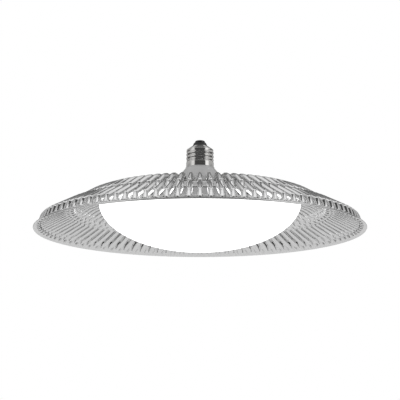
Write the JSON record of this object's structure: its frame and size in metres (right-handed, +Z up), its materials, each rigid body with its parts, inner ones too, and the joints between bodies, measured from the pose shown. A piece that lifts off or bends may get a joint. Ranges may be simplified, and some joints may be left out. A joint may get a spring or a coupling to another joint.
{
  "type": "led lamp",
  "caption": "Disc-shaped LED lamp with a louvred aluminium dish as shade and heat sink, an opal dome diffuser, a driver housing and an E27 screw cap.",
  "frame": {"origin": "on the lamp's axis, at the lower end of the cap's smooth skirt", "axes": "+Z up along the cap, out of the lamp; the dish opens towards -Z"},
  "size_m": [0.318, 0.318, 0.1068],
  "materials": {
    "bright_aluminium": "bright",
    "opal_diffuser": "satin",
    "thermal_pad_grey": "matte",
    "white_solder_mask": "satin",
    "led_phosphor": "gloss",
    "white_nylon": "matte",
    "zinc_steel": "brushed",
    "silver_plastic": "satin",
    "nickel_plate": "polished",
    "black_insulator": "gloss",
    "black_rubber": "matte",
    "green_laminate": "satin",
    "ferrite": "matte",
    "yellow_tape": "gloss",
    "black_sleeve": "gloss",
    "ochre_case": "gloss",
    "black_epoxy": "matte",
    "grey_enamel": "matte",
    "brown_insulation": "satin",
    "blue_insulation": "satin",
    "red_insulation": "satin",
    "black_insulation": "satin"
  },
  "bodies": {
    "root": {"heat_sink_dish": "bright_aluminium", "diffuser_dome": "opal_diffuser", "thermal_pad": "thermal_pad_grey", "led_board": "white_solder_mask", "led_chips": "led_phosphor", "led_connector": "white_nylon", "led_board_screws": "zinc_steel", "housing_screws": "zinc_steel", "driver_screws": "zinc_steel", "driver_housing": "silver_plastic", "screw_shell": "nickel_plate", "cap_insulator": "black_insulator", "centre_contact": "nickel_plate", "lead_grommet": "black_rubber", "driver_board": "green_laminate", "transformer_core": "ferrite", "transformer_winding": "yellow_tape", "bulk_capacitor": "black_sleeve", "output_capacitor": "black_sleeve", "film_capacitor": "ochre_case", "bridge_rectifier": "black_epoxy", "driver_ic": "black_epoxy", "filter_inductor": "ferrite", "fuse_resistor": "grey_enamel", "output_diode": "black_epoxy", "live_lead": "brown_insulation", "neutral_lead": "blue_insulation", "led_lead_positive": "red_insulation", "led_lead_negative": "black_insulation"}
  },
  "joints": []
}
